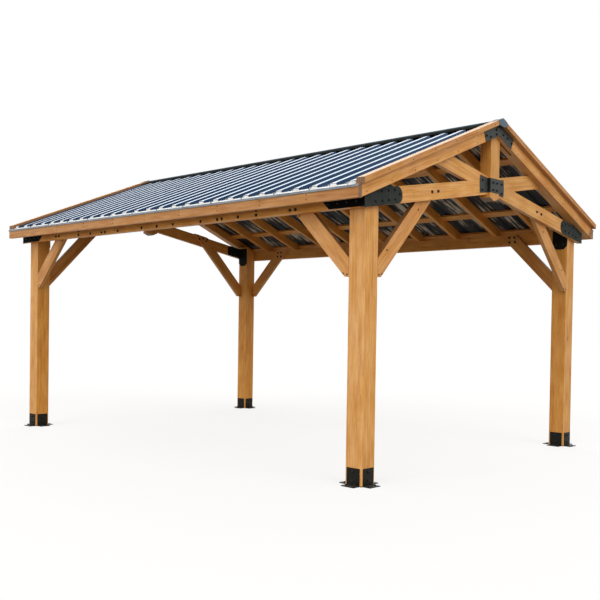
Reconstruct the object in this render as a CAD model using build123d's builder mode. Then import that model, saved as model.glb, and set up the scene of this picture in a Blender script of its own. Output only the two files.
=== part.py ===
from build123d import *
import os
from math import atan, cos, sin, sqrt

os.makedirs("parts", exist_ok=True)

# The gazebo stands on the ground at Z = 0, with its ridge along X and its centre over the origin.
# Front is -Y, back is +Y, right is +X and left is -X. All sizes are in millimetres.

# Posts: a square section, and the distances between their centres
post_side = 146.0
post_spacing_x = 4414.0
post_spacing_y = 3072.0
post_arris = 3.0

# Steel shoe under each post: a sole, a cheek on each face and a foot in front of each cheek
shoe_plate = 5.0
shoe_sole = 6.0
shoe_width = 116.0
shoe_height = 122.0
shoe_foot = 62.0
anchor_hole_radius = 6.5
anchor_hole_spacing = 70.0

# Eave beams on the posts' outer faces: the clear height below them and the height of their outer faces
beam_underside = 1958.0
beam_thickness = 63.0
beam_outer_height = 86.0

# Roof: slope as rise over run, rafters and eave
roof_rise = 0.3935
rafter_depth = 90.0
rafter_thickness = 38.0
rafter_spacing = 475.0
eave_reach = 202.0
fascia_thickness = 38.0
fascia_height = 102.5
ridge_board_thickness = 38.0
ridge_board_depth = 140.0

# Scissor truss on the posts' outer faces in each gable: its chords cross at the king post
truss_thickness = 38.0
chord_rise = 0.17
chord_depth = 123.0
chord_heel_drop = 8.0
king_width = 138.0
king_thickness = 95.0
king_proud = 27.0
king_drop = 26.0
king_point = 26.0
fly_gap = 18.0
fly_thickness = 38.0
fly_spacer_start = 285.0
mitre_gap = 1.0

# Knee braces at 45 degrees, lapped on beam and chord: the upper edge's drop at the post, and the foot
brace_thickness = 38.0
brace_depth = 121.0
brace_leg = 344.0
brace_foot_cut = 38.0

# Roof boards and sheets
purlin_thickness = 19.0
purlin_width = 89.0
purlin_ridge_inset = 90.0
purlin_spacing = 418.0
barge_height = 38.0
barge_overhang = 38.0
barge_tail_inset = 22.0
sheet_thickness = 2.5
rib_pitch = 176.0
rib_height = 16.0
rib_crest = 44.0
rib_flank = 16.0
drip_flange = 50.0
drip_leg = 14.0
drip_thickness = 2.5
cap_leg = 118.0
cap_thickness = 2.5
hood_reach = 66.0
hood_thickness = 2.5

# Steel plates
plate = 5.0
corner_plate_beam = 375.0
corner_plate_gable = 430.0
corner_plate_round = 56.0
hanger_drop = 102.0
hanger_reach = 206.0
hanger_round = 34.0
collar_height = 115.0
collar_flange = 112.0
collar_flare = 15.0
collar_bulge = 7.0
gusset_leg = 232.0

# Places worked out from the sizes above
half_x = (post_spacing_x + post_side) / 2
half_y = (post_spacing_y + post_side) / 2
inner_x = half_x - post_side
inner_y = half_y - post_side
beam_face = half_y + beam_thickness
truss_face = half_x + truss_thickness
king_face = truss_face + king_proud
king_back = king_face - king_thickness
fly_back = truss_face + fly_gap
fly_face = fly_back + fly_thickness
barge_face = fly_face + barge_overhang
eave_face = half_y + eave_reach
rafter_tail = eave_face - fascia_thickness
pitch = atan(roof_rise)
rafter_height = rafter_depth / cos(pitch)
rafter_peak = beam_underside + beam_outer_height + roof_rise * beam_face
chord_heel = beam_underside - chord_heel_drop
chord_height = chord_depth / cos(atan(chord_rise))
chord_joint = chord_heel + chord_rise * beam_face + chord_height / 2
king_half = king_width / 2
ridge_half = ridge_board_thickness / 2
purlin_eave = rafter_tail - purlin_width / 2 * cos(pitch)
purlin_bays = int((purlin_eave - purlin_width - purlin_ridge_inset) / purlin_spacing)
purlin_rows = [purlin_ridge_inset + bay * purlin_spacing for bay in range(purlin_bays + 1)] + [purlin_eave]
cap_lift = rib_height + sheet_thickness


def underside(y):
    """Height of the rafters' underside at a distance from the ridge line."""
    return rafter_peak - roof_rise * abs(y)


def topside(y, lift=0.0):
    """Height of the rafters' top at a distance from the ridge line, plus a lift square to the slope."""
    return underside(y) + rafter_height + lift / cos(pitch)


def chord_low(y):
    """Height of a chord's lower edge, measured on the side where the chord starts."""
    return chord_heel + chord_rise * (beam_face - y)


def chord_high(y):
    """Height of a chord's upper edge, measured on the side where the chord starts."""
    return chord_low(y) + chord_height


def across(x):
    """Plane square to the ridge: its own x is Y and its own y is Z, and it extrudes along +X."""
    return Plane(origin=(x, 0, 0), x_dir=(0, 1, 0), z_dir=(1, 0, 0))


def along(y):
    """Plane parallel to the ridge: its own x is X and its own y is Z, and it extrudes along -Y."""
    return Plane(origin=(0, y, 0), x_dir=(1, 0, 0), z_dir=(0, -1, 0))


def upslope(side, y, lift=0.0):
    """Plane square to a roof slope: its own y points out of the roof, and it extrudes towards the ridge."""
    return Plane(
        origin=(0, side * y, topside(y, lift)),
        x_dir=(side, 0, 0),
        z_dir=(0, -side * cos(pitch), sin(pitch)),
    )


def mirrored(points, side):
    """The same outline on the side of the ridge that is asked for."""
    return [(side * y, z) for y, z in points]


def lowest_x(side, near, far):
    """The smaller X of a slab between two distances on one side of the middle."""
    return min(side * near, side * far)


def house_purlins(side):
    """Cuts the notches that let the purlins into the rafters of one slope."""
    for row in purlin_rows:
        with BuildSketch(upslope(side, row)) as notch:
            with Locations((0, -purlin_thickness / 2)):
                Rectangle(2 * fly_back, purlin_thickness)
        extrude(notch.sketch, amount=purlin_width / 2, both=True, mode=Mode.SUBTRACT)


ends = ((1, "right"), (-1, "left"))
fronts = ((-1, "front"), (1, "back"))

# Posts, with small arrises on the long edges, cut to the roof slope at the top
for side_x, end in ends:
    for side_y, front in fronts:
        post_outline = [
            (inner_y, shoe_sole),
            (half_y, shoe_sole),
            (half_y, underside(half_y)),
            (inner_y, underside(inner_y)),
        ]
        with BuildPart() as post:
            with BuildSketch(across(lowest_x(side_x, inner_x, half_x))):
                with BuildLine():
                    Polyline(mirrored(post_outline, side_y), close=True)
                make_face()
            extrude(amount=post_side)
            chamfer(post.edges().filter_by(Axis.Z), post_arris)
        post.part.label = f"post_{front}_{end}"
        export_step(post.part, f"parts/post_{front}_{end}.step")

# Post shoes
for side_x, end in ends:
    for side_y, front in fronts:
        middle = (side_x * post_spacing_x / 2, side_y * post_spacing_y / 2)
        cheek_centre = (post_side + shoe_plate) / 2
        foot_centre = post_side / 2 + shoe_plate + shoe_foot / 2
        foot_length = shoe_plate + shoe_foot
        with BuildPart() as shoe:
            with BuildSketch(Plane.XY):
                with Locations(middle):
                    Rectangle(post_side, post_side)
                    Rectangle(post_side + 2 * foot_length, shoe_width)
                    Rectangle(shoe_width, post_side + 2 * foot_length)
                    with GridLocations(anchor_hole_spacing, 2 * foot_centre, 2, 2):
                        Circle(anchor_hole_radius, mode=Mode.SUBTRACT)
                    with GridLocations(2 * foot_centre, anchor_hole_spacing, 2, 2):
                        Circle(anchor_hole_radius, mode=Mode.SUBTRACT)
            extrude(amount=shoe_sole)
            with BuildSketch(Plane.XY.offset(shoe_sole)):
                with Locations(middle):
                    with GridLocations(2 * cheek_centre, 0, 2, 1):
                        Rectangle(shoe_plate, shoe_width)
                    with GridLocations(0, 2 * cheek_centre, 1, 2):
                        Rectangle(shoe_width, shoe_plate)
            extrude(amount=shoe_height)
        shoe.part.label = f"post_shoe_{front}_{end}"
        export_step(shoe.part, f"parts/post_shoe_{front}_{end}.step")

# Eave beams, bevelled to the rafters, on the posts' outer faces and between the gable trusses
for side_y, front in fronts:
    beam_outline = [
        (half_y, beam_underside),
        (beam_face, beam_underside),
        (beam_face, underside(beam_face)),
        (half_y, underside(half_y)),
    ]
    with BuildPart() as beam:
        with BuildSketch(across(-half_x)):
            with BuildLine():
                Polyline(mirrored(beam_outline, side_y), close=True)
            make_face()
        extrude(amount=2 * half_x)
    beam.part.label = f"eave_beam_{front}"
    export_step(beam.part, f"parts/eave_beam_{front}.step")

# Knee braces along the eaves, from each post up the inner face of the beam to the rafters
upper_start = beam_underside - brace_leg
lower_start = upper_start - brace_depth * sqrt(2)
brace_foot = lower_start + brace_foot_cut
brace_top = underside(half_y)
eave_brace_outline = [
    (inner_x, upper_start),
    (inner_x - (brace_top - upper_start), brace_top),
    (inner_x - (brace_top - lower_start), brace_top),
    (inner_x - brace_foot_cut, brace_foot),
    (inner_x, brace_foot),
]
for side_x, end in ends:
    for side_y, front in fronts:
        brace_back = half_y if side_y > 0 else brace_thickness - half_y
        with BuildPart() as eave_brace:
            with BuildSketch(along(brace_back)):
                with BuildLine():
                    Polyline(mirrored(eave_brace_outline, side_x), close=True)
                make_face()
            extrude(amount=brace_thickness)
        eave_brace.part.label = f"eave_brace_{front}_{end}"
        export_step(eave_brace.part, f"parts/eave_brace_{front}_{end}.step")

# Knee braces in the gables, from each post up the inner face of the chord to its upper edge


def reach_to_chord(start):
    """Distance from the post to where a brace edge that leaves it at this height meets the chord's top."""
    return (chord_high(inner_y) - start) / (1 - chord_rise)


gable_upper = inner_y - reach_to_chord(upper_start)
gable_lower = inner_y - reach_to_chord(lower_start)
gable_brace_outline = [
    (inner_y, upper_start),
    (gable_upper, chord_high(gable_upper)),
    (gable_lower, chord_high(gable_lower)),
    (inner_y - brace_foot_cut, brace_foot),
    (inner_y, brace_foot),
]
for side_x, end in ends:
    for side_y, front in fronts:
        with BuildPart() as gable_brace:
            with BuildSketch(across(lowest_x(side_x, half_x - brace_thickness, half_x))):
                with BuildLine():
                    Polyline(mirrored(gable_brace_outline, side_y), close=True)
                make_face()
            extrude(amount=brace_thickness)
        gable_brace.part.label = f"gable_brace_{front}_{end}"
        export_step(gable_brace.part, f"parts/gable_brace_{front}_{end}.step")

# Scissor chords: the lower lengths run from the beams to the king post, the struts go on past it
rafter_meets_high = (rafter_peak - chord_heel - chord_rise * beam_face - chord_height) / (
    roof_rise - chord_rise
)
joint_y = (chord_high(0) - chord_joint) / chord_rise
chord_outline = [
    (beam_face, chord_low(beam_face)),
    (king_half, chord_low(king_half)),
    (king_half, chord_joint),
    (joint_y, chord_joint),
    (rafter_meets_high, chord_high(rafter_meets_high)),
    (beam_face, underside(beam_face)),
]
for side_x, end in ends:
    for side_y, front in fronts:
        with BuildPart() as chord:
            with BuildSketch(across(lowest_x(side_x, half_x, truss_face))):
                with BuildLine():
                    Polyline(mirrored(chord_outline, side_y), close=True)
                make_face()
            extrude(amount=truss_thickness)
        chord.part.label = f"scissor_chord_{front}_{end}"
        export_step(chord.part, f"parts/scissor_chord_{front}_{end}.step")

strut_low_y = (rafter_peak - chord_low(0)) / (roof_rise + chord_rise)
strut_high_y = (rafter_peak - chord_high(0)) / (roof_rise + chord_rise)
strut_outline = [
    (king_half, chord_joint),
    (joint_y, chord_joint),
    (strut_low_y, underside(strut_low_y)),
    (strut_high_y, underside(strut_high_y)),
    (king_half, chord_high(-king_half)),
]
for side_x, end in ends:
    with BuildPart() as struts:
        for side_y in (-1, 1):
            with BuildSketch(across(lowest_x(side_x, half_x, truss_face))):
                with BuildLine():
                    Polyline(mirrored(strut_outline, side_y), close=True)
                make_face()
            extrude(amount=truss_thickness)
    struts.part.label = f"scissor_struts_{end}"
    export_step(struts.part, f"parts/scissor_struts_{end}.step")

# King posts, pointed at the foot and cut to both slopes at the top
king_shoulder = chord_low(king_half) - king_drop
king_tip = king_shoulder - king_point
king_outline = [
    (-king_half, king_shoulder),
    (0, king_tip),
    (king_half, king_shoulder),
    (king_half, underside(king_half)),
    (0, rafter_peak),
    (-king_half, underside(king_half)),
]
for side_x, end in ends:
    with BuildPart() as king:
        with BuildSketch(across(lowest_x(side_x, king_back, king_face))):
            with BuildLine():
                Polyline(king_outline, close=True)
            make_face()
        extrude(amount=king_thickness)
    king.part.label = f"king_post_{end}"
    export_step(king.part, f"parts/king_post_{end}.step")

# Top chords, fly rafters with their spacers, and barge boards: a pair on each gable, mitred at the ridge


def slope_outline(low_lift, high_lift, tail, start=mitre_gap / 2):
    """Outline of a board that follows one slope, from a hairline mitre unless told, to an upright tail."""
    base = -rafter_depth
    return [
        (start, topside(start, base + low_lift)),
        (tail, topside(tail, base + low_lift)),
        (tail, topside(tail, base + high_lift)),
        (start, topside(start, base + high_lift)),
    ]


slope_boards = (
    ("top_chords", half_x, truss_thickness, slope_outline(0, rafter_depth, rafter_tail)),
    ("fly_spacers", truss_face, fly_gap, slope_outline(0, rafter_depth, rafter_tail, fly_spacer_start)),
    ("fly_rafters", fly_back, fly_thickness, slope_outline(0, rafter_depth, rafter_tail)),
    (
        "barge_boards",
        fly_back,
        fly_thickness + barge_overhang,
        slope_outline(rafter_depth, rafter_depth + barge_height, eave_face - barge_tail_inset),
    ),
)
for side_x, end in ends:
    for board_name, board_back, board_thickness, board_outline in slope_boards:
        with BuildPart() as slope_board:
            for side_y in (-1, 1):
                with BuildSketch(across(lowest_x(side_x, board_back, board_back + board_thickness))):
                    with BuildLine():
                        Polyline(mirrored(board_outline, side_y), close=True)
                    make_face()
                extrude(amount=board_thickness)
                if board_name in ("top_chords", "fly_spacers"):
                    house_purlins(side_y)
        slope_board.part.label = f"{board_name}_{end}"
        export_step(slope_board.part, f"parts/{board_name}_{end}.step")

# Ridge board between the two king posts
with BuildPart() as ridge_board:
    with BuildSketch(Plane.XY.offset(topside(ridge_half) - ridge_board_depth)):
        Rectangle(2 * king_back, ridge_board_thickness)
    extrude(amount=ridge_board_depth)
ridge_board.part.label = "ridge_board"
export_step(ridge_board.part, "parts/ridge_board.step")

# Common rafters, a row on each slope
rafters_each_way = int((inner_x - rafter_thickness / 2) / rafter_spacing)
rafter_outline = [
    (ridge_half, underside(ridge_half)),
    (rafter_tail, underside(rafter_tail)),
    (rafter_tail, topside(rafter_tail)),
    (ridge_half, topside(ridge_half)),
]
for side_y, front in fronts:
    with BuildPart() as rafters:
        for index in range(-rafters_each_way, rafters_each_way + 1):
            with BuildSketch(across(index * rafter_spacing - rafter_thickness / 2)):
                with BuildLine():
                    Polyline(mirrored(rafter_outline, side_y), close=True)
                make_face()
            extrude(amount=rafter_thickness)
        house_purlins(side_y)
    rafters.part.label = f"common_rafters_{front}"
    export_step(rafters.part, f"parts/common_rafters_{front}.step")

# Purlins: flat boards let into the rafters, flush with their tops, between the barge boards
for side_y, front in fronts:
    with BuildPart() as purlins:
        for row in purlin_rows:
            with BuildSketch(upslope(side_y, row)):
                with Locations((0, -purlin_thickness / 2)):
                    Rectangle(2 * fly_back, purlin_thickness)
            extrude(amount=purlin_width / 2, both=True)
    purlins.part.label = f"purlins_{front}"
    export_step(purlins.part, f"parts/purlins_{front}.step")

# Fascias over the rafter tails, bevelled to the roof
fascia_underside = topside(rafter_tail) - fascia_height
for side_y, front in fronts:
    fascia_outline = [
        (rafter_tail, fascia_underside),
        (eave_face, fascia_underside),
        (eave_face, topside(eave_face)),
        (rafter_tail, topside(rafter_tail)),
    ]
    with BuildPart() as fascia:
        with BuildSketch(across(-fly_face)):
            with BuildLine():
                Polyline(mirrored(fascia_outline, side_y), close=True)
            make_face()
        extrude(amount=2 * fly_face)
    fascia.part.label = f"fascia_{front}"
    export_step(fascia.part, f"parts/fascia_{front}.step")

# Roof sheets: a trapezoid rib profile drawn square to the slope
sheet_end = eave_face + plate - drip_flange
sheet_run = (sheet_end - 2 * ridge_half) / cos(pitch)


ribs_each_way = int((fly_back - rib_crest / 2 - rib_flank) / rib_pitch)


def rib_line(lift):
    """Points of the ribbed surface from one gable to the other, at a lift above the rafters."""
    points = [(-fly_back, lift)]
    crest = rib_crest / 2
    for index in range(-ribs_each_way, ribs_each_way + 1):
        centre = index * rib_pitch
        points += [
            (centre - crest - rib_flank, lift),
            (centre - crest, lift + rib_height),
            (centre + crest, lift + rib_height),
            (centre + crest + rib_flank, lift),
        ]
    points.append((fly_back, lift))
    return points


for side_y, front in fronts:
    with BuildPart() as sheet:
        with BuildSketch(upslope(side_y, sheet_end)):
            with BuildLine():
                Polyline(rib_line(0) + rib_line(sheet_thickness)[::-1], close=True)
            make_face()
        extrude(amount=sheet_run)
    sheet.part.label = f"roof_sheet_{front}"
    export_step(sheet.part, f"parts/roof_sheet_{front}.step")

# Drip edges: a flange below each sheet's end, and a leg in front of the fascia and its whole length
drip_corner = sheet_end + drip_flange
drip_top = topside(drip_corner)
flange_outline = [
    (sheet_end, topside(sheet_end)),
    (drip_corner, drip_top),
    (drip_corner, topside(drip_corner, drip_thickness)),
    (sheet_end + drip_thickness * sin(pitch), topside(sheet_end) + drip_thickness * cos(pitch)),
]
leg_outline = [
    (drip_corner, drip_top - drip_leg),
    (drip_corner + drip_thickness, drip_top - drip_leg),
    (drip_corner + drip_thickness, topside(drip_corner, drip_thickness)),
    (drip_corner, topside(drip_corner, drip_thickness)),
]
for side_y, front in fronts:
    with BuildPart() as drip_edge:
        for drip_end, drip_outline in ((fly_back, flange_outline), (fly_face, leg_outline)):
            with BuildSketch(across(-drip_end)):
                with BuildLine():
                    Polyline(mirrored(drip_outline, side_y), close=True)
                make_face()
            extrude(amount=2 * drip_end)
    drip_edge.part.label = f"drip_edge_{front}"
    export_step(drip_edge.part, f"parts/drip_edge_{front}.step")

# Ridge cap: folded over the rib crests, between the barge boards
cap_outer = cap_lift + cap_thickness
cap_outline = [
    (-cap_leg, topside(cap_leg, cap_lift)),
    (0, topside(0, cap_lift)),
    (cap_leg, topside(cap_leg, cap_lift)),
    (cap_leg, topside(cap_leg, cap_outer)),
    (0, topside(0, cap_outer)),
    (-cap_leg, topside(cap_leg, cap_outer)),
]
with BuildPart() as ridge_cap:
    with BuildSketch(across(-fly_back)):
        with BuildLine():
            Polyline(cap_outline, close=True)
        make_face()
    extrude(amount=2 * fly_back)
ridge_cap.part.label = "ridge_cap"
export_step(ridge_cap.part, "parts/ridge_cap.step")

# Hoods: a folded cap over each barge mitre, closed by an end plate
hood_outer = barge_height + hood_thickness
hood_outline = [
    (-hood_reach, topside(hood_reach, barge_height)),
    (0, topside(0, barge_height)),
    (hood_reach, topside(hood_reach, barge_height)),
    (hood_reach, topside(hood_reach, hood_outer)),
    (0, topside(0, hood_outer)),
    (-hood_reach, topside(hood_reach, hood_outer)),
]
hood_end_outline = [
    (-hood_reach, topside(hood_reach, barge_height)),
    (0, topside(0, barge_height)),
    (hood_reach, topside(hood_reach, barge_height)),
    (hood_reach, topside(hood_reach)),
    (0, topside(0)),
    (-hood_reach, topside(hood_reach)),
]
hood_length = barge_face - fly_back + hood_thickness
for side_x, end in ends:
    with BuildPart() as hood:
        with BuildSketch(across(lowest_x(side_x, fly_back, fly_back + hood_length))):
            with BuildLine():
                Polyline(hood_outline, close=True)
            make_face()
        extrude(amount=hood_length)
        with BuildSketch(across(lowest_x(side_x, barge_face, barge_face + hood_thickness))):
            with BuildLine():
                Polyline(hood_end_outline, close=True)
            make_face()
        extrude(amount=hood_thickness)
    hood.part.label = f"barge_hood_{end}"
    export_step(hood.part, f"parts/barge_hood_{end}.step")

# Corner brackets: folded round the corner where an eave beam meets a chord
for side_x, end in ends:
    for side_y, front in fronts:
        beam_plate_outline = [
            (truss_face + plate, chord_low(beam_face)),
            (truss_face + plate, underside(beam_face + plate)),
            (truss_face - corner_plate_beam, underside(beam_face + plate)),
            (truss_face - corner_plate_beam, beam_underside),
            (truss_face, beam_underside),
            (truss_face, chord_low(beam_face)),
        ]
        plate_end = beam_face - corner_plate_gable
        gable_plate_outline = [
            (beam_face + plate, chord_low(beam_face + plate)),
            (plate_end, chord_low(plate_end)),
            (plate_end, chord_high(plate_end)),
            (rafter_meets_high, chord_high(rafter_meets_high)),
            (beam_face + plate, underside(beam_face + plate)),
        ]
        with BuildPart() as corner_bracket:
            with BuildSketch(along(side_y * beam_face + plate if side_y > 0 else side_y * beam_face)):
                with BuildLine():
                    Polyline(mirrored(beam_plate_outline, side_x), close=True)
                make_face()
                beam_tips = vertices().group_by(Axis.X)[0 if side_x > 0 else -1]
                chamfer(beam_tips.sort_by(Axis.Y)[:1], corner_plate_round)
            extrude(amount=plate)
            with BuildSketch(across(lowest_x(side_x, truss_face, truss_face + plate))):
                with BuildLine():
                    Polyline(mirrored(gable_plate_outline, side_y), close=True)
                make_face()
                gable_tips = vertices().group_by(Axis.X)[0 if side_y > 0 else -1]
                fillet(gable_tips, corner_plate_round)
            extrude(amount=plate)
        corner_bracket.part.label = f"corner_bracket_{front}_{end}"
        export_step(corner_bracket.part, f"parts/corner_bracket_{front}_{end}.step")

# Post hangers: a leg on each post's inner face, folded on to the chord's inner side
hanger_low = chord_low(inner_y) - hanger_drop
for side_x, end in ends:
    with BuildPart() as hangers:
        for side_y in (-1, 1):
            hanger_outline = [
                (inner_x, hanger_low),
                (half_x, hanger_low),
                (half_x, chord_high(inner_y)),
                (inner_x, chord_high(inner_y)),
            ]
            hanger_end = inner_y - hanger_reach
            wing_outline = [
                (inner_y, chord_low(inner_y)),
                (hanger_end, chord_low(hanger_end)),
                (hanger_end, chord_high(hanger_end)),
                (inner_y, chord_high(inner_y)),
            ]
            with BuildSketch(along(side_y * inner_y if side_y > 0 else side_y * (inner_y - plate))):
                with BuildLine():
                    Polyline(mirrored(hanger_outline, side_x), close=True)
                make_face()
                chamfer(vertices().group_by(Axis.Y)[0], hanger_round)
            extrude(amount=plate)
            with BuildSketch(across(lowest_x(side_x, half_x - plate, half_x))):
                with BuildLine():
                    Polyline(mirrored(wing_outline, side_y), close=True)
                make_face()
                wing_tips = vertices().group_by(Axis.X)[0 if side_y > 0 else -1]
                fillet(wing_tips, hanger_round)
            extrude(amount=plate)
    hangers.part.label = f"post_hangers_{end}"
    export_step(hangers.part, f"parts/post_hangers_{end}.step")

# Collar straps: hat-shaped steel round each king post, with flanges that flare on to the chords
for side_x, end in ends:
    web = king_half + plate
    flange_end = king_half + collar_flange
    collar_low = chord_joint - collar_height / 2
    collar_top = chord_joint + collar_height / 2
    hat_outline = [
        (side_x * truss_face, -web),
        (side_x * (king_face + plate), -web),
        (side_x * (king_face + plate), web),
        (side_x * truss_face, web),
        (side_x * truss_face, king_half),
        (side_x * king_face, king_half),
        (side_x * king_face, -king_half),
        (side_x * truss_face, -king_half),
    ]
    with BuildPart() as collar:
        with BuildSketch(Plane.XY.offset(collar_low)):
            with BuildLine():
                Polyline(hat_outline, close=True)
            make_face()
        extrude(amount=collar_height)
        for side_y in (-1, 1):
            high_tip = (side_y * flange_end, collar_top + collar_flare)
            low_tip = (side_y * flange_end, collar_low - collar_flare)
            bulge = (side_y * (flange_end + collar_bulge), chord_joint)
            with BuildSketch(across(lowest_x(side_x, truss_face, truss_face + plate))):
                with BuildLine():
                    Polyline(
                        low_tip,
                        (side_y * king_half, collar_low),
                        (side_y * king_half, collar_top),
                        high_tip,
                    )
                    ThreePointArc(high_tip, bulge, low_tip)
                make_face()
            extrude(amount=plate)
    collar.part.label = f"collar_strap_{end}"
    export_step(collar.part, f"parts/collar_strap_{end}.step")

# Peak gussets on the fly rafters
gusset_end = gusset_leg - rafter_depth * sin(pitch)
gusset_outline = [
    (0, topside(0)),
    (gusset_leg, topside(gusset_leg)),
    (gusset_end, underside(gusset_end)),
    (0, rafter_peak),
    (-gusset_end, underside(gusset_end)),
    (-gusset_leg, topside(gusset_leg)),
]
for side_x, end in ends:
    with BuildPart() as gusset:
        with BuildSketch(across(lowest_x(side_x, fly_face, fly_face + plate))):
            with BuildLine():
                Polyline(gusset_outline, close=True)
            make_face()
        extrude(amount=plate)
    gusset.part.label = f"peak_gusset_{end}"
    export_step(gusset.part, f"parts/peak_gusset_{end}.step")
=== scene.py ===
from math import atan, cos, pi, radians, sin

import bpy
from mathutils import Matrix, Quaternion, Vector


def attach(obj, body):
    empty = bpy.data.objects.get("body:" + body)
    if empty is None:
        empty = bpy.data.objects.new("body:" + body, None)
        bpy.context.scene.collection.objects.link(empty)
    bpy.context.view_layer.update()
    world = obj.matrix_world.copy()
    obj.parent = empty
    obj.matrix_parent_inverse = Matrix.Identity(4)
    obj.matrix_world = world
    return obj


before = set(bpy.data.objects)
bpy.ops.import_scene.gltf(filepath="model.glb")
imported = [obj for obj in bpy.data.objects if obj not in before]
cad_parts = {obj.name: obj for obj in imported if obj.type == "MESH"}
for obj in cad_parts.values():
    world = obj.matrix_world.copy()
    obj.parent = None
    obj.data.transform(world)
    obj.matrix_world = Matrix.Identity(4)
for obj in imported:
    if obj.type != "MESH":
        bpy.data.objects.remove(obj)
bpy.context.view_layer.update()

# Lengths are in metres. Front is -Y, back is +Y, right is +X and left is -X.
ROOF_RISE = 0.3935
CHORD_RISE = 0.17
ROOF_PITCH = atan(ROOF_RISE)
CHORD_SLOPE = atan(CHORD_RISE)
RAFTER_DEPTH = 0.09
RAFTER_SPACING = 0.475
RAFTERS_EACH_WAY = 4
PURLIN_SPACING = 0.418
PURLIN_ROWS = (0.09, 0.508, 0.926, 1.344, 1.732)
SHEET_THICKNESS = 0.0025
SHEET_END = 1.766
RIB_PITCH = 0.176
RIBS_EACH_WAY = 13
RIB_HEIGHT = 0.016
RIB_CREST = 0.044
RIB_FOOT = 0.076

# Faces of the frame, as distances from the middle, and heights
PLATE = 0.005
POST_X, POST_Y = 2.207, 1.536
HALF_X, HALF_Y = 2.28, 1.609
INNER_X, INNER_Y = 2.134, 1.463
BEAM_FACE = 1.672
BEAM_UNDERSIDE = 1.958
BEAM_OUTER_HEIGHT = 0.086
CHORD_HEEL_DROP = 0.008
BRACE_THICKNESS = 0.038
BRACE_DEPTH = 0.121
BRACE_LEG = 0.344
BRACE_LOWER = BEAM_UNDERSIDE - BRACE_LEG - BRACE_DEPTH * 2 ** 0.5
BRACKET_FACE = 2.323
KING_FACE = 2.345
FLY_FACE = 2.374
BARGE_FACE = 2.412
EAVE_FACE = 1.811
RIDGE_TOP = BEAM_UNDERSIDE + BEAM_OUTER_HEIGHT + ROOF_RISE * BEAM_FACE + RAFTER_DEPTH / cos(ROOF_PITCH)

# Shoes, from the middle of the post
SHOE_SOLE = 0.006
CHEEK_FACE = 0.078
FOOT_MIDDLE = 0.109
ANCHOR_OFFSET = 0.035
LAG_HEIGHTS = (0.038, 0.1)

# Trim that only the scene has
HOOD_PLATE = 0.0023
CLOSURE_DEPTH = 0.012
CLOSURE_PROUD = 0.0015
CLOSURE_COVER = 0.0005
DRIP_SCREW_INSET, DRIP_SCREW_OFFSET = 0.012, 0.017
# The ridge strip is a raised blue grey bead that paints a highlight along the ridge
RIDGE_STRIP_LIFT = 0.0205
RIDGE_STRIP_LENGTH, RIDGE_STRIP_WIDTH, RIDGE_STRIP_HEIGHT = 4.66, 0.016, 0.012

SIDES = (1, -1)
QUARTER_TURN = pi / 2
GOLDEN_ANGLE = 2.4
DOWN_THE_SLOPE = (ROOF_PITCH, 0, -QUARTER_TURN)

# Camera: the place, turn, lift, roll and framing that match the photograph's edges
CAMERA_PLACE = Vector((5.98982, -6.28639, 1.15378))
CAMERA_TURN = radians(44.9695)
CAMERA_LIFT = radians(1.0659)
CAMERA_ROLL = radians(0.8294)
CAMERA_LENS = 50.986
CAMERA_SHIFT = (0.05637, 0.06203)
CAMERA_REACH = 200.0

# Studio: the lamps' names, turns and lifts in degrees, strengths and spreads in degrees
LAMPS = (("front", 8, 24, 1.55, 50), ("gable", 82, 24, 1.4, 50), ("back", 215, 27, 1.0, 60))
LAMP_DISTANCE = 12.0
SKY_STRENGTH = 0.56
FLOOR_SIZE = 80.0
FLOOR_LIFT = 0.75


def linear(red, green, blue):
    """A colour as the eye reads it, 0 to 255, turned into the shader's linear values."""
    channels = []
    for value in (red, green, blue):
        share = value / 255
        channels.append(share / 12.92 if share <= 0.04045 else ((share + 0.055) / 1.055) ** 2.4)
    return (*channels, 1.0)


def add(tree, kind, inputs=None, **options):
    """Adds a node, sets its options, and feeds its inputs from values or from other nodes' outputs."""
    made = tree.nodes.new(kind)
    for option, value in options.items():
        setattr(made, option, value)
    for key, value in (inputs or {}).items():
        if isinstance(value, bpy.types.NodeSocket):
            tree.links.new(value, made.inputs[key])
        else:
            made.inputs[key].default_value = value
    return made


def maths(tree, operation, *values, clamp=False):
    """One number worked out from others."""
    made = add(tree, "ShaderNodeMath", dict(enumerate(values)), operation=operation, use_clamp=clamp)
    return made.outputs[0]


def vectors(tree, operation, *values):
    """One vector worked out from others."""
    made = add(tree, "ShaderNodeVectorMath", dict(enumerate(values)), operation=operation)
    return made.outputs[0]


def split(tree, vector):
    """The three numbers of a vector."""
    return add(tree, "ShaderNodeSeparateXYZ", {0: vector}).outputs[:3]


def ramp(tree, value, *stops):
    """Colours along a number: each stop is its place and its colour."""
    made = add(tree, "ShaderNodeValToRGB", {0: value})
    scale = made.color_ramp
    scale.elements[0].position, scale.elements[0].color = stops[0]
    scale.elements[1].position, scale.elements[1].color = stops[-1]
    for place, colour in stops[1:-1]:
        scale.elements.new(place).color = colour
    return made.outputs[0]


def blend(tree, share, first, second, mode="MIX"):
    """Two colours mixed by a share."""
    made = add(tree, "ShaderNodeMix", {0: share, 6: first, 7: second}, data_type="RGBA", blend_type=mode)
    return made.outputs[2]


def toned(tree, colour, tone):
    """A colour made darker or lighter by a number."""
    grey = add(tree, "ShaderNodeCombineColor", {0: tone, 1: tone, 2: tone}).outputs[0]
    return blend(tree, 1.0, colour, grey, "MULTIPLY")


def fit(tree, value, low, high, to_low, to_high):
    """A number moved from one span to another and kept inside it."""
    made = add(tree, "ShaderNodeMapRange", {0: value, 1: low, 2: high, 3: to_low, 4: to_high})
    return made.outputs[0]


def noise(tree, spot, scale, detail, output="Fac"):
    """Cloudy noise at a scale, as a number or as a colour."""
    inputs = {"Vector": spot, "Scale": scale, "Detail": detail}
    return add(tree, "ShaderNodeTexNoise", inputs).outputs[output]


def stretched_noise(tree, spot, scales, detail):
    """Noise drawn out along one way, from its own scale each way."""
    return noise(tree, vectors(tree, "MULTIPLY", spot, scales), 1.0, detail)


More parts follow.
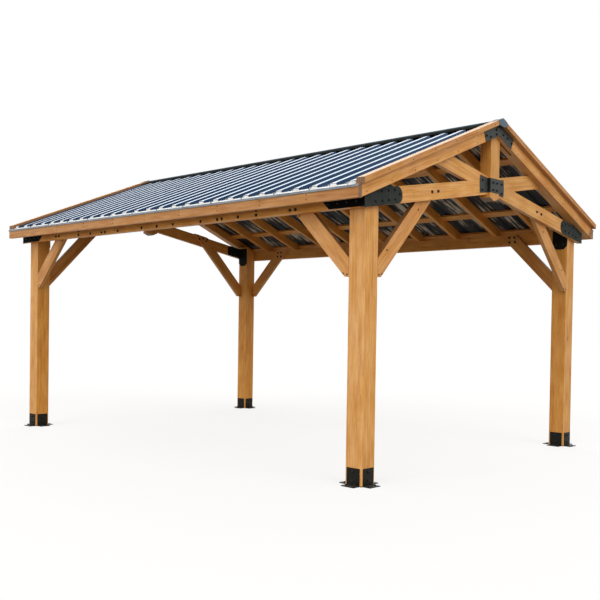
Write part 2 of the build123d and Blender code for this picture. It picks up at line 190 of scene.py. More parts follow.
def emptied(holder):
    """The node tree of a material or a world, with nothing in it."""
    holder.use_nodes = True
    holder.node_tree.nodes.clear()
    return holder.node_tree


def new_finish(name):
    """An empty material with its surface shader."""
    finish = bpy.data.materials.new(name)
    tree = emptied(finish)
    surface = add(tree, "ShaderNodeBsdfPrincipled")
    output = add(tree, "ShaderNodeOutputMaterial")
    tree.links.new(surface.outputs[0], output.inputs[0])
    return finish, tree, surface


def feed(tree, surface, **sockets):
    """Joins worked out values to the surface shader's sockets."""
    for name, value in sockets.items():
        tree.links.new(value, surface.inputs[name.replace("_", " ")])


def bumped(tree, height, distance, strength=1.0):
    """A normal roughened by a height."""
    inputs = {"Height": height, "Distance": distance, "Strength": strength}
    return add(tree, "ShaderNodeBump", inputs).outputs[0]


def stained_wood(
    name,
    turn=(0, 0, 0),
    centre=(0, 0, 0),
    mirror=(1, 1),
    repeat=(0, 0),
    pink=0,
    painted_top_light=0.0,
    inner_shade=0.0,
    level=1.0,
    under_roof_shade=0.0,
    top_shade=0.0,
):
    """Stained softwood whose grain runs along X after the turn. The pattern is folded over the middle of the
    roof where mirror says, centred on a board, and drawn anew on each board that repeats at a spacing."""
    finish, tree, surface = new_finish(name)
    place = add(tree, "ShaderNodeTexCoord")
    side_x, side_y, _ = split(tree, vectors(tree, "SIGN", place.outputs["Object"]))
    folds = {0: side_x if mirror[0] else 1.0, 1: side_y if mirror[1] else 1.0, 2: 1.0}
    folding = add(tree, "ShaderNodeCombineXYZ", folds).outputs[0]
    own = vectors(tree, "SUBTRACT", vectors(tree, "MULTIPLY", place.outputs["Object"], folding), centre)
    seed = folding
    if any(repeat):
        spacing = (repeat[0] or 100.0, repeat[1] or 100.0, 100.0)
        half = tuple(step / 2 for step in spacing)
        shifted = vectors(tree, "ADD", own, half)
        board = vectors(tree, "FLOOR", vectors(tree, "DIVIDE", shifted, spacing))
        seed = vectors(tree, "ADD", vectors(tree, "MULTIPLY", folding, (31.0, 17.0, 1.0)), board)
        own = vectors(tree, "SUBTRACT", shifted, vectors(tree, "SNAP", shifted, spacing))
        own = vectors(tree, "SUBTRACT", own, half)
    along = add(tree, "ShaderNodeMapping", {"Vector": own, "Rotation": turn}).outputs[0]
    facing = vectors(tree, "MULTIPLY", place.outputs["Normal"], folding)
    outward, outward_y, up = split(tree, facing)

    # Each board has its own draw of tone and figure
    draw = add(tree, "ShaderNodeTexWhiteNoise", {"Vector": seed}, noise_dimensions="3D")
    spread = vectors(tree, "SUBTRACT", draw.outputs["Color"], (0.5, 0.5, 0.5))
    along = vectors(tree, "ADD", along, vectors(tree, "MULTIPLY", spread, (9.0, 0.16, 0.16)))

    # Growth rings round the pith, drawn out along the board
    drawn = vectors(tree, "MULTIPLY", along, (0.09, 1.0, 1.0))
    sway = noise(tree, drawn, 8.0, 4.0, output="Color")
    swayed = vectors(tree, "ADD", drawn, vectors(tree, "MULTIPLY", sway, (0.0, 0.06, 0.06)))
    rings = add(
        tree,
        "ShaderNodeTexWave",
        {"Vector": swayed, "Scale": 20.0, "Distortion": 1.5, "Detail": 3.0, "Detail Scale": 2.0},
        wave_type="RINGS",
        rings_direction="X",
        wave_profile="SAW",
    ).outputs["Fac"]

    # Fibres, streaks and stain clouds, each longer than it is wide, and knots through the boards
    fibre = stretched_noise(tree, along, (7.0, 300.0, 300.0), 4.0)
    streak = stretched_noise(tree, along, (2.0, 60.0, 60.0), 4.0)
    cloud = stretched_noise(tree, along, (5.0, 16.0, 16.0), 6.0)
    pits = fit(tree, stretched_noise(tree, along, (22.0, 150.0, 150.0), 2.0), 0.66, 0.72, 0.0, 0.4)
    knot_spot = vectors(tree, "MULTIPLY", along, (2.3, 6.0, 0.5))
    knot_reach = add(tree, "ShaderNodeTexVoronoi", {"Vector": knot_spot, "Scale": 1.0}).outputs["Distance"]
    knot = fit(tree, knot_reach, 0.035, 0.065, 0.7, 0.0)
    halo = fit(tree, knot_reach, 0.05, 0.22, 1.0, 0.0)

    # The figure sets the tone, and amber patches warm it, most of all on the faces turned towards the gables,
    # where the extra warmth is painted shade
    figure = maths(tree, "MULTIPLY_ADD", rings, 0.07, maths(tree, "MULTIPLY", fibre, 0.36))
    figure = maths(tree, "MULTIPLY_ADD", streak, 0.26, figure)
    figure = maths(tree, "MULTIPLY_ADD", cloud, 0.31, figure)
    figure = maths(tree, "MULTIPLY_ADD", halo, 0.05, figure)
    colour = ramp(
        tree,
        figure,
        (0.33, linear(232, 183 - pink, 122)),
        (0.5, linear(211, 154 - pink, 91)),
        (0.68, linear(178, 115 - pink, 56)),
    )
    amber = fit(tree, stretched_noise(tree, along, (4.0, 22.0, 22.0), 6.0), 0.42, 0.6, 0.0, 0.65)
    # Painted shade: the faces turned towards the gables are warmed more
    amber = maths(tree, "MULTIPLY_ADD", maths(tree, "ABSOLUTE", outward), 0.35, amber, clamp=True)
    colour = blend(tree, amber, colour, linear(246, 236, 192), "MULTIPLY")
    # Painted shade: a warm tint on faces turned to the middle, and all over members under the roof
    inner = fit(tree, maths(tree, "MINIMUM", outward, outward_y), -0.9, -0.6, 1.0, 0.0)
    colour = blend(tree, maths(tree, "MAXIMUM", inner, under_roof_shade), colour, linear(255, 240, 190), "MULTIPLY")
    board_tone = maths(tree, "MULTIPLY_ADD", draw.outputs["Value"], 0.14 * level, 0.93 * level)
    colour = toned(tree, colour, board_tone)
    # Painted highlight: flat tops are made paler and creamier
    colour = blend(tree, fit(tree, up, 0.6, 0.95, 0.0, painted_top_light), colour, linear(250, 236, 214))
    colour = blend(tree, maths(tree, "MAXIMUM", knot, pits), colour, linear(92, 54, 28))

    # Painted shade: upper edges are darkened where the roof above shades them, and faces turned to the middle
    # of the roof are darkened
    colour = blend(tree, fit(tree, up, 0.5, 0.65, 0.0, top_shade), colour, linear(96, 60, 34))
    colour = blend(tree, fit(tree, outward, -0.9, -0.6, inner_shade, 0.0), colour, linear(122, 84, 52))

    # The cut ends are darker, greyer and show the rings
    turned = add(tree, "ShaderNodeMapping", {"Vector": facing, "Rotation": turn}, vector_type="NORMAL")
    end_face = maths(tree, "ABSOLUTE", split(tree, turned.outputs[0])[0])
    end_colour = ramp(tree, rings, (0.1, linear(142, 108, 80)), (0.9, linear(108, 78, 56)))
    colour = blend(tree, fit(tree, end_face, 0.6, 0.75, 0.0, 1.0), colour, end_colour)

    rough = fit(tree, figure, 0.3, 0.8, 0.5, 0.68)
    height = maths(tree, "MULTIPLY_ADD", rings, 0.4, fibre)
    feed(tree, surface, Base_Color=colour, Roughness=rough, Normal=bumped(tree, height, 0.0007, 0.6))
    surface.inputs["Specular IOR Level"].default_value = 0.35
    return finish


def painted_steel(name, colour, rough, dust_and_sheen=0.25, flat_dirt_and_sheen=(150, 148, 140), gloss=0.25, eave_face_shade=1.0):
    """Powder coated steel with a fine orange peel, faint mottling, and grey dirt where it lies flat. On the
    drip edge the flat tint is a near white painted reflection instead. The faces along the eaves can be darker
    than the ones in the gables, as painted shade."""
    finish, tree, surface = new_finish(name)
    place = add(tree, "ShaderNodeTexCoord")
    spot = place.outputs["Object"]
    _, along_eave, up = split(tree, place.outputs["Normal"])
    clouds = {"Vector": spot, "Scale": 14.0, "Detail": 5.0, "Roughness": 0.6}
    mottle = add(tree, "ShaderNodeTexNoise", clouds).outputs[0]
    peel = noise(tree, spot, 420.0, 2.0)
    streaks = stretched_noise(tree, spot, (45.0, 45.0, 4.0), 3.0)
    worn = fit(tree, maths(tree, "MULTIPLY", mottle, streaks), 0.26, 0.42, 0.0, 1.0)
    flat = fit(tree, up, 0.3, 0.95, 0.0, 1.0)
    dark, light = ([part * share for part in colour] for share in (0.86, 1.12))
    base = ramp(tree, mottle, (0.3, linear(*dark)), (0.7, linear(*light)))
    base = blend(tree, maths(tree, "MULTIPLY", worn, dust_and_sheen), base, linear(128, 130, 128))
    # Flat faces take grey dirt, and on the drip edge a near white painted reflection
    base = blend(tree, maths(tree, "MULTIPLY", flat, min(1.0, dust_and_sheen * 3)), base, linear(*flat_dirt_and_sheen))
    # Painted shade: faces that look along Y, under the eaves, are darkened
    base = toned(tree, base, fit(tree, maths(tree, "ABSOLUTE", along_eave), 0.6, 0.9, 1.0, eave_face_shade))
    roughness = fit(tree, mottle, 0.3, 0.7, rough - 0.06, rough + 0.08)
    feed(tree, surface, Base_Color=base, Roughness=roughness, Normal=bumped(tree, peel, 0.00025, 0.5))
    surface.inputs["Specular IOR Level"].default_value = gloss
    return finish


def roofing_steel():
    """Roof sheet: glossy navy paint above, and dull zinc below that is painted near black as shade,
    with pale painted reflections streaked along the ribs.
    """
    finish, tree, surface = new_finish("navy roofing steel")
    place = add(tree, "ShaderNodeTexCoord")
    spot = place.outputs["Object"]
    up = split(tree, place.outputs["Normal"])[2]
    below = fit(tree, up, -0.1, -0.02, 1.0, 0.0)
    mottle = noise(tree, spot, 5.0, 4.0)
    runs = stretched_noise(tree, spot, (42.0, 1.8, 4.0), 5.0)
    patches = stretched_noise(tree, spot, (6.0, 2.4, 5.0), 3.0)
    above_colour = ramp(tree, mottle, (0.3, linear(22, 50, 80)), (0.7, linear(27, 57, 88)))
    # Painted shade and painted reflection: the underside goes near black, with pale streaks along the ribs
    glint_streaks = fit(tree, maths(tree, "MULTIPLY", runs, patches), 0.21, 0.35, 0.0, 1.0)
    zinc = ((0.0, linear(16, 13, 9)), (0.45, linear(54, 46, 36)), (1.0, linear(214, 202, 180)))
    colour = blend(tree, below, above_colour, ramp(tree, glint_streaks, *zinc))
    rough = maths(tree, "MULTIPLY_ADD", below, 0.7, fit(tree, mottle, 0.3, 0.7, 0.12, 0.2))
    feed(tree, surface, Base_Color=colour, Roughness=rough, Normal=bumped(tree, runs, 0.0004, 0.2))
    paint = maths(tree, "SUBTRACT", 1.0, below)
    metal = maths(tree, "MULTIPLY", paint, 0.85)
    coat = maths(tree, "MULTIPLY", paint, 0.15)
    feed(tree, surface, Metallic=metal, Coat_Weight=coat)
    surface.inputs["Specular Tint"].default_value = linear(216, 229, 242)
    surface.inputs["Coat IOR"].default_value = 1.25
    surface.inputs["Coat Roughness"].default_value = 0.1
    return finish


def closure_foam():
    """Pale closed cell foam with a fine grain."""
    finish, tree, surface = new_finish("pale closure foam")
    spot = add(tree, "ShaderNodeTexCoord").outputs["Object"]
    cells = noise(tree, spot, 380.0, 2.0)
    shade = noise(tree, spot, 9.0, 3.0)
    colour = ramp(tree, shade, (0.3, linear(240, 241, 242)), (0.7, linear(250, 251, 252)))
    feed(tree, surface, Base_Color=colour, Normal=bumped(tree, cells, 0.0004, 0.5))
    surface.inputs["Roughness"].default_value = 0.8
    return finish


def finish_of(node_name, finishes):
    """The finish that a CAD node takes, by the start of its name."""
    for start, finish in finishes.items():
        if node_name.startswith(start):
            return finish
    raise KeyError(node_name)


bolt_steel = painted_steel("black bolt steel", (14, 13, 11), 0.38, dust_and_sheen=0.03, gloss=0.2)
finishes = {
    "post_shoe": painted_steel("black shoe steel", (14, 13, 7), 0.5, dust_and_sheen=0.04, gloss=0.15),
    "post_hangers": painted_steel("black hanger steel", (19, 19, 16), 0.6, dust_and_sheen=0.03, gloss=0.05),
    # Painted shade on the eave faces of the corner brackets and collar straps
    "corner_bracket": painted_steel(
        "slate corner steel", (52, 56, 53), 0.6, dust_and_sheen=0.05, gloss=0.03, eave_face_shade=0.06
    ),
    "collar_strap": painted_steel("slate strap steel", (46, 50, 47), 0.45, dust_and_sheen=0.07, eave_face_shade=0.22),
    "peak_gusset": painted_steel("slate bracket steel", (46, 50, 47), 0.45, dust_and_sheen=0.07),
    "post_": stained_wood("stained post timber", (0, QUARTER_TURN, 0), (POST_X, POST_Y, 0)),
    "king_post": stained_wood("stained king post timber", (0, QUARTER_TURN, 0), (2.3, 0, 0), mirror=(1, 0)),
    # Beams, ridge board, purlins and rafters under the roof take a warm painted shade all over
    "eave_beam": stained_wood(
        "stained beam timber", centre=(0, 1.64, 2.0), mirror=(0, 1), level=1.1, under_roof_shade=1.0
    ),
    "ridge_board": stained_wood("stained ridge timber", centre=(0, 0, 2.7), mirror=(0, 0), under_roof_shade=1.0),
    "fascia": stained_wood("stained fascia board", centre=(0, 1.79, 2.04), mirror=(0, 1), pink=5, level=0.7),
    "purlins": stained_wood(
        "stained purlin board",
        centre=(0, 0.09, 2.4),
        mirror=(0, 1),
        repeat=(0, PURLIN_SPACING),
        level=1.15,
        under_roof_shade=1.0,
    ),
    # Painted shade on the braces' upper edges, under the roof
    "eave_brace": stained_wood(
        "stained eave brace", (0, -pi / 4, 0), (1.85, 1.59, 1.8), pink=3, level=0.9, top_shade=0.75
    ),
    "gable_brace": stained_wood(
        "stained gable brace", (pi / 4, 0, -QUARTER_TURN), (2.26, 1.2, 1.8), pink=3, level=0.9, top_shade=0.75
    ),
    "scissor_chord": stained_wood("stained chord timber", (CHORD_SLOPE, 0, -QUARTER_TURN), (2.3, 0.9, 2.14)),
    "scissor_struts": stained_wood("stained strut timber", (-CHORD_SLOPE, 0, -QUARTER_TURN), (2.3, 0.3, 2.35)),
    "top_chords": stained_wood("stained truss timber", DOWN_THE_SLOPE, (2.3, 0.8, 2.44)),
    "common_rafters": stained_wood(
        "stained rafter timber",
        DOWN_THE_SLOPE,
        (0, 0.8, 2.44),
        mirror=(0, 1),
        repeat=(RAFTER_SPACING, 0),
        level=1.15,
        under_roof_shade=1.0,
    ),
    "fly_spacers": stained_wood("stained spacer timber", DOWN_THE_SLOPE, (2.33, 0.8, 2.44)),
    "fly_rafters": stained_wood("stained fly rafter", DOWN_THE_SLOPE, (2.355, 0.8, 2.44), pink=2),
    # Painted highlight on the barge boards' tops, and painted shade on their inner faces
    "barge_boards": stained_wood(
        "stained barge board",
        DOWN_THE_SLOPE,
        (2.38, 0.8, 2.51),
        pink=5,
        painted_top_light=0.5,
        inner_shade=0.7,
        level=0.8,
    ),
    "roof_sheet": roofing_steel(),
    # Painted reflection: the drip edge's flat flange is made near white
    "drip_edge": painted_steel(
        "zinc grey drip edge", (134, 139, 144), 0.4, dust_and_sheen=0.3, flat_dirt_and_sheen=(236, 236, 234)
    ),
    "barge_hood": painted_steel("blue grey hood", (84, 98, 108), 0.45, dust_and_sheen=0.05),
    # Painted highlight: the ridge strip is much paler than the dark ridge cap
    "ridge_highlight_strip": painted_steel("blue grey painted ridge highlight", (80, 94, 104), 0.7, dust_and_sheen=0.0, gloss=0.04),
    "ridge_cap": painted_steel("dark ridge cap", (15, 17, 17), 0.85, dust_and_sheen=0.02, gloss=0.0),
}

for node_name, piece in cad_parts.items():
    piece.data.materials.clear()
    piece.data.materials.append(finish_of(node_name, finishes))


def clear_selection():
    """Nothing is left selected."""
    bpy.ops.object.select_all(action="DESELECT")


def select_faces(piece, chosen):
    """Goes to edit mode with only the faces selected that pass the test."""
    bpy.ops.object.mode_set(mode="EDIT")
    bpy.ops.mesh.select_mode(type="FACE")
    bpy.ops.mesh.select_all(action="DESELECT")
    bpy.ops.object.mode_set(mode="OBJECT")
    for face in piece.data.polygons:
        face.select = chosen(face)
    bpy.ops.object.mode_set(mode="EDIT")


def facing_up(face):
    """Whether a face is a flat top."""
    return face.normal.z > 0.9


def joined(pieces):
    """Joins pieces into the first one."""
    clear_selection()
    for piece in pieces:
        piece.select_set(True)
    bpy.context.view_layer.objects.active = pieces[0]
    bpy.ops.object.join()
    return pieces[0]


def hand_over(piece, name, finish):
    """Names a finished piece, gives it its finish, and lets it ride with the frame."""
    piece.name = piece.data.name = name
    piece.data.materials.clear()
    piece.data.materials.append(finish)
    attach(piece, "root")


def turned_disc(sides, radius, thickness, base=0.0):
    """A disc on the XY plane with a drawn in and rounded off top."""
    clear_selection()
    bpy.ops.mesh.primitive_cylinder_add(
        vertices=sides, radius=radius, depth=thickness, location=(0, 0, base + thickness / 2)
    )
    disc = bpy.context.active_object
    bpy.ops.object.transform_apply()
    select_faces(disc, facing_up)
    bpy.ops.mesh.bevel(offset=min(thickness, radius) * 0.3, segments=1)
    bpy.ops.object.mode_set(mode="OBJECT")
    return disc


def hex_bolt(across, head, washer, washer_thickness):
    """A bolt head on its washer, standing on the XY plane."""
    ring = turned_disc(14, washer / 2, washer_thickness)
    crown = turned_disc(6, across / 2 / cos(pi / 6), head, washer_thickness)
    select_faces(crown, facing_up)
    bpy.ops.mesh.inset(thickness=across * 0.14)
    bpy.ops.transform.translate(value=(0, 0, head * 0.12))
    bpy.ops.object.mode_set(mode="OBJECT")
    return joined([crown, ring])


def screw_head(across, head):
    """A low screw head with a driver's recess, standing on the XY plane."""
    disc = turned_disc(10, across / 2, head)
    select_faces(disc, facing_up)
    bpy.ops.mesh.inset(thickness=across * 0.14)
    bpy.ops.mesh.inset(thickness=across * 0.02)
    bpy.ops.transform.translate(value=(0, 0, -head * 0.5))
    bpy.ops.object.mode_set(mode="OBJECT")
    return disc


def set_out(master, name, finish, places, turned=True):
    """Copies a piece to each place, facing its way and turned as it was driven, and joins the copies."""
    copies = []
    for number, (spot, facing) in enumerate(places):
        copy = master.copy()
        copy.data = master.data.copy()
        bpy.context.scene.collection.objects.link(copy)
        copy.location = spot
        driven = number * GOLDEN_ANGLE if turned else 0.0
        facing_way = Vector((0, 0, 1)).rotation_difference(Vector(facing))
        copy.rotation_euler = (facing_way @ Quaternion((0, 0, 1), driven)).to_euler()
        copies.append(copy)
    bpy.data.objects.remove(master)
    piece = joined(copies)
    bpy.ops.object.transform_apply()
    hand_over(piece, name, finish)


def on_both_ends(points, reach):
    """Places on the two gables from points (Y, Z) at a distance from the middle, facing out of the gable."""
    return [
        (Vector((side * reach, flip * y, z)), (side, 0, 0))
        for side in SIDES
        for flip in SIDES
        for y, z in points
    ]


def on_both_eaves(points, reach):
    """Places on the two eaves from points (X, Z) at a distance from the middle, facing out of the eave.
    A point in the middle isn't doubled."""
    return [
        (Vector((flip * x, side * reach, z)), (0, side, 0))
        for side in SIDES
        for flip in SIDES
        for x, z in points
        if x or flip > 0
    ]


def alike_from_outside(points, reach):
    """Places on the two gables from points (Y, Z) that look the same from outside either gable."""
    return [(Vector((side * reach, side * y, z)), (side, 0, 0)) for side in SIDES for y, z in points]


def facing_in(places):
    """The same places, facing the other way."""
    return [(spot, tuple(-part for part in facing)) for spot, facing in places]


def chord_low(y):
    """Height of a chord's lower edge at a distance from the ridge line."""
    return BEAM_UNDERSIDE - CHORD_HEEL_DROP + CHORD_RISE * (BEAM_FACE - y)


def roof_top(y, lift=0.0):
    """Height of the rafters' top at a distance from the ridge line, plus a lift square to the slope."""
    return RIDGE_TOP - ROOF_RISE * abs(y) + lift / cos(ROOF_PITCH)


def out_of_roof(side):
    """The way that a roof slope faces."""
    return Vector((0, side * sin(ROOF_PITCH), cos(ROOF_PITCH)))


# Fasteners, at the places where the photograph shows them


def bolt_brackets():
    """Bolts in the corner brackets, peak gussets, collar straps and post hangers."""
    places = on_both_ends([(y, chord_low(y) + 0.032) for y in (1.553, 1.478, 1.403, 1.329)], BRACKET_FACE)
    places += on_both_ends([(y, chord_low(y) + 0.1) for y in (1.486, 1.407, 1.333)], BRACKET_FACE)
    places += on_both_ends([(1.272, chord_low(1.272) + 0.066)], BRACKET_FACE)
    beam_row = [(x, BEAM_UNDERSIDE + 0.04) for x in (1.995, 2.08, 2.165, 2.25)]
    places += on_both_eaves(beam_row, BEAM_FACE + PLATE)
    gusset = [(-0.195, 2.673), (-0.132, 2.674), (-0.047, 2.744), (-0.042, 2.708)]
    gusset += [(0.066, 2.719), (0.132, 2.701), (0.2, 2.67)]
    places += alike_from_outside(gusset, FLY_FACE + PLATE)
    places += on_both_ends([(0.153, 2.329), (0.153, 2.25)], BRACKET_FACE)
    places += on_both_ends([(0.03, 2.32), (0.03, 2.26)], KING_FACE + PLATE)
    hanger_wing = [(y, chord_low(y) + rise) for y in (1.39, 1.305) for rise in (0.035, 0.092)]
    places += facing_in(on_both_ends(hanger_wing, HALF_X - PLATE))
    hanger_drop = [(x, z) for x in (2.17, 2.24) for z in (1.93, 2.07)]
    places += facing_in(on_both_eaves(hanger_drop, INNER_Y - PLATE))
    set_out(hex_bolt(0.015, 0.008, 0.022, 0.002), "bracket_bolts", bolt_steel, places)


def bolt_timbers():
    """Bolts through the beams, the chords and the laps of the braces."""
    beam_rows = [(0.0, 0.018), (0.223, 0.02), (0.59, 0.018), (0.797, 0.019), (0.853, 0.02)]
    beam_rows += [(1.044, 0.021), (1.25, 0.058), (1.25, 0.019), (1.61, 0.028), (1.667, 0.028)]
    places = on_both_eaves([(x, BEAM_UNDERSIDE + rise) for x, rise in beam_rows], BEAM_FACE)
    chord_pair = [(y, chord_low(y) + 0.062) for y in (0.78, 0.861)]
    places += on_both_ends(chord_pair, BRACKET_FACE - PLATE)
    eave_lap = [(1.612, 2.038), (1.667, 2.038), (1.615, 1.99), (1.675, 1.99)]
    places += facing_in(on_both_eaves(eave_lap, HALF_Y - BRACE_THICKNESS))
    gable_lap = [(0.71, 2.228), (0.73, 2.186), (0.796, 2.196), (0.849, 2.166), (0.872, 2.19)]
    places += facing_in(on_both_ends(gable_lap, HALF_X - BRACE_THICKNESS))
    set_out(hex_bolt(0.016, 0.007, 0.026, 0.002), "timber_bolts", bolt_steel, places)


def screw_timbers():
    """Screws in the faces of the braces, and in both faces of each brace's foot."""
    places = on_both_ends([(0.981, 2.006), (1.36, 1.678)], HALF_X)
    places += on_both_eaves([(1.652, 1.946)], HALF_Y)
    foot = [(0.05, BRACE_LOWER + 0.062), (0.014, BRACE_LOWER + 0.054)]
    gable_foot = [(INNER_Y - inset, z) for inset, z in foot]
    eave_foot = [(INNER_X - inset, z) for inset, z in foot]
    places += on_both_ends(gable_foot, HALF_X)
    places += on_both_eaves(eave_foot, HALF_Y)
    places += facing_in(on_both_ends(gable_foot, HALF_X - BRACE_THICKNESS))
    places += facing_in(on_both_eaves(eave_foot, HALF_Y - BRACE_THICKNESS))
    set_out(screw_head(0.013, 0.0025), "timber_screws", bolt_steel, places)


def nail_boards():
    """Pairs of nails in the fascias, and single nails along the barge boards and fly rafters."""
    rafters = [index * RAFTER_SPACING for index in range(RAFTERS_EACH_WAY + 1)]
    places = on_both_eaves([(x, z) for x in rafters for z in (2.022, 2.055)], EAVE_FACE)
    steps = [0.12 + 0.28 * index for index in range(6)]
    places += on_both_ends([(y, roof_top(y, 0.017)) for y in steps], BARGE_FACE)
    places += on_both_ends([(y + 0.2, roof_top(y + 0.2, -0.07)) for y in steps], FLY_FACE)
    set_out(screw_head(0.0095, 0.0012), "board_nails", bolt_steel, places)


def fix_shoes():
    """Two lag screws in each cheek of the shoes, and two anchors in each foot."""
    lags = []
    anchors = []
    for side_x in SIDES:
        for side_y in SIDES:
            middle = Vector((side_x * POST_X, side_y * POST_Y, 0))
            for turn in range(4):
                way = Vector((round(cos(turn * QUARTER_TURN)), round(sin(turn * QUARTER_TURN)), 0))
                across = Vector((-way.y, way.x, 0))
                for height in LAG_HEIGHTS:
                    lags.append((middle + way * CHEEK_FACE + Vector((0, 0, height)), way))
                sole = middle + way * FOOT_MIDDLE + Vector((0, 0, SHOE_SOLE))
                for offset in (-ANCHOR_OFFSET, ANCHOR_OFFSET):
                    anchors.append((sole + across * offset, (0, 0, 1)))
    set_out(hex_bolt(0.014, 0.008, 0.021, 0.002), "shoe_lag_screws", bolt_steel, lags)
    set_out(hex_bolt(0.013, 0.006, 0.02, 0.002), "anchor_bolts", bolt_steel, anchors)


def screw_roof():
    """Screws with washers in the sheets' flats over all but the top purlin, and along the drip edges."""
    places = []
    flats = [(index + 0.5) * RIB_PITCH for index in range(RIBS_EACH_WAY)]
    drip_y = EAVE_FACE - DRIP_SCREW_INSET
    for side in SIDES:
        for y in PURLIN_ROWS[1:]:
            for x in [flip * flat for flip in SIDES for flat in flats]:
                spot = Vector((x, side * y, roof_top(y, SHEET_THICKNESS)))
                places.append((spot, out_of_roof(side)))
        for x in [flip * (2 * index + 1) * RIB_PITCH for flip in SIDES for index in range(7)]:
            spot = Vector((x - DRIP_SCREW_OFFSET, side * drip_y, roof_top(drip_y, SHEET_THICKNESS)))
            places.append((spot, out_of_roof(side)))
    set_out(hex_bolt(0.008, 0.005, 0.015, 0.0015), "roof_screws", finishes["roof_sheet"], places)


def close_ribs():
    """A pale foam closure over the end of each rib, just proud of the sheets' eave ends."""
    clear_selection()
    bpy.ops.mesh.primitive_cube_add(size=1.0)
    block = bpy.context.active_object
    height = RIB_HEIGHT + SHEET_THICKNESS + CLOSURE_COVER
    block.scale = (RIB_FOOT, CLOSURE_DEPTH, height)
    bpy.ops.object.transform_apply()
    select_faces(block, facing_up)
    bpy.ops.transform.resize(value=(RIB_CREST / RIB_FOOT, 1, 1))
    bpy.ops.object.mode_set(mode="OBJECT")
    y = SHEET_END + CLOSURE_PROUD - CLOSURE_DEPTH / 2
    places = []
    for side in SIDES:
        for index in range(-RIBS_EACH_WAY, RIBS_EACH_WAY + 1):
            middle = Vector((index * RIB_PITCH, side * y, roof_top(y, height / 2)))
            places.append((middle, out_of_roof(side)))
    set_out(block, "rib_closures", closure_foam(), places, turned=False)


def cut_plate(corners, near, far):
    """An upright plate between two distances from the middle, cut to a convex outline of points (Y, Z)."""
    low = Vector((min(near, far), min(y for y, z in corners), min(z for y, z in corners)))
    high = Vector((max(near, far), max(y for y, z in corners), max(z for y, z in corners)))
    middle = (low + high) / 2
    clear_selection()
    bpy.ops.mesh.primitive_cube_add(size=1.0, location=middle)
    plate = bpy.context.active_object
    plate.scale = high - low
    bpy.ops.object.transform_apply()
    bpy.ops.object.mode_set(mode="EDIT")
    for (y, z), (next_y, next_z) in zip(corners, corners[1:] + corners[:1]):
        outward = Vector((0, next_z - z, y - next_y))
        if outward.dot(middle - Vector((middle.x, y, z))) > 0:
            outward = -outward
        bpy.ops.mesh.select_all(action="SELECT")
        bpy.ops.mesh.bisect(plane_co=(middle.x, y, z), plane_no=outward, use_fill=True, clear_outer=True)
    bpy.ops.mesh.select_all(action="SELECT")
    bpy.ops.mesh.normals_make_consistent(inside=False)
    bpy.ops.mesh.bevel(offset=0.0004, segments=1)
    bpy.ops.object.mode_set(mode="OBJECT")
    return plate


def plate_hoods():
    """The five sided plates that close the fronts of the hoods over the barge boards' mitres."""
    outline = [(-0.051, 2.813), (-0.05, 2.777), (0.03, 2.769), (0.088, 2.8), (0.0, 2.838)]
    plates = []
    for side in SIDES:
        corners = [(side * y, z) for y, z in outline]
        plates.append(cut_plate(corners, side * BARGE_FACE, side * (BARGE_FACE + HOOD_PLATE)))
    hand_over(joined(plates), "hood_plates", finishes["barge_hood"])


def lay_ridge_highlight_strip():
    """A raised, rounded blue grey strip along the fold of the ridge cap, between the hoods: a painted
    highlight.
    """
    clear_selection()
    middle = roof_top(0, RIDGE_STRIP_LIFT) + RIDGE_STRIP_HEIGHT / 2
    bpy.ops.mesh.primitive_cube_add(size=1.0, location=(0, 0, middle))
    highlight_strip = bpy.context.active_object
    highlight_strip.scale = (RIDGE_STRIP_LENGTH, RIDGE_STRIP_WIDTH, RIDGE_STRIP_HEIGHT)
    bpy.ops.object.transform_apply()
    select_faces(highlight_strip, facing_up)
    bpy.ops.mesh.bevel(offset=0.003, segments=2)
    bpy.ops.object.mode_set(mode="OBJECT")
    hand_over(highlight_strip, "ridge_highlight_strip", finishes["ridge_highlight_strip"])


def towards(turn, lift):
    """The way to a viewer or a lamp: turn is 0 in front and grows to the right, and lift is above level."""
    return Vector((sin(turn) * cos(lift), -cos(turn) * cos(lift), sin(lift)))


def set_camera():
    """Puts the camera where the photograph was taken from."""
    back = towards(CAMERA_TURN, CAMERA_LIFT)
    level = Vector((0, 0, 1)).cross(back).normalized()
    above = back.cross(level)
    right = level * cos(CAMERA_ROLL) + above * sin(CAMERA_ROLL)
    up = above * cos(CAMERA_ROLL) - level * sin(CAMERA_ROLL)
    turn = Matrix((right, up, back)).transposed()
    bpy.ops.object.camera_add(location=CAMERA_PLACE, rotation=turn.to_euler())
    camera = bpy.context.active_object
    camera.data.lens = CAMERA_LENS
    camera.data.shift_x, camera.data.shift_y = CAMERA_SHIFT
    camera.data.clip_end = CAMERA_REACH
    bpy.context.scene.camera = camera


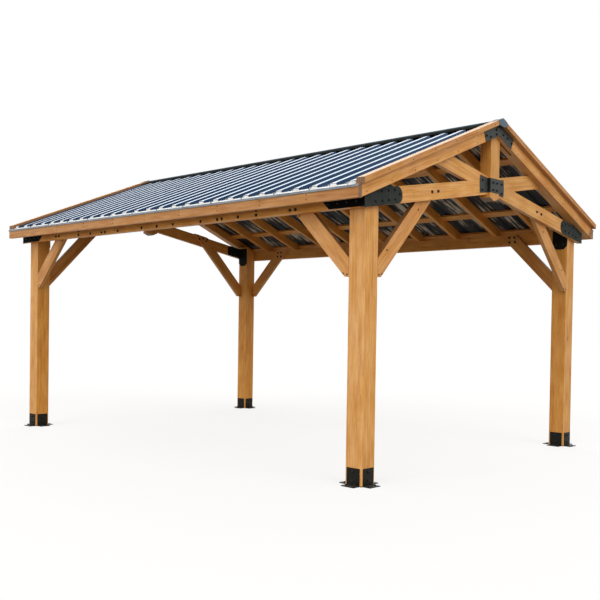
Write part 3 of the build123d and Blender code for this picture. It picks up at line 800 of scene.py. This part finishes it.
def seen_or_mirrored(tree):
    """One for rays from the camera and for reflections, and nothing for the light that falls on pieces."""
    rays = add(tree, "ShaderNodeLightPath")
    return maths(tree, "MAXIMUM", rays.outputs["Is Camera Ray"], rays.outputs["Is Glossy Ray"])


def lay_floor():
    """A pale floor that reads white and keeps the soft shadow."""
    bpy.ops.mesh.primitive_plane_add(size=FLOOR_SIZE)
    floor = bpy.context.active_object
    floor.name = "studio_floor"
    finish = bpy.data.materials.new("pale studio floor")
    tree = emptied(finish)
    pale = add(tree, "ShaderNodeBsdfDiffuse", {"Color": (0.25, 0.246, 0.238, 1.0)})
    seen = maths(tree, "MULTIPLY", seen_or_mirrored(tree), FLOOR_LIFT)
    lift = add(tree, "ShaderNodeEmission", {"Color": (1, 1, 1, 1), "Strength": seen})
    both = add(tree, "ShaderNodeAddShader", {0: pale.outputs[0], 1: lift.outputs[0]})
    output = add(tree, "ShaderNodeOutputMaterial")
    tree.links.new(both.outputs[0], output.inputs[0])
    floor.data.materials.append(finish)


def light_studio():
    """White surroundings, and a broad, soft and low lamp before each side that is seen, and one behind."""
    world = bpy.data.worlds.new("white studio")
    bpy.context.scene.world = world
    tree = emptied(world)
    strength = fit(tree, seen_or_mirrored(tree), 0.0, 1.0, SKY_STRENGTH, 1.0)
    sky = add(tree, "ShaderNodeBackground", {"Color": (1, 1, 1, 1), "Strength": strength})
    output = add(tree, "ShaderNodeOutputWorld")
    tree.links.new(sky.outputs[0], output.inputs[0])
    for name, turn, lift, energy, spread in LAMPS:
        back = towards(radians(turn), radians(lift))
        aim = back.to_track_quat("Z", "Y").to_euler()
        bpy.ops.object.light_add(type="SUN", location=back * LAMP_DISTANCE, rotation=aim)
        lamp = bpy.context.active_object
        lamp.name = f"{name}_lamp"
        lamp.data.energy = energy
        lamp.data.angle = radians(spread)


bolt_brackets()
bolt_timbers()
screw_timbers()
nail_boards()
fix_shoes()
screw_roof()
close_ribs()
plate_hoods()
lay_ridge_highlight_strip()
set_camera()
lay_floor()
light_studio()
bpy.context.scene.view_settings.view_transform = "Standard"
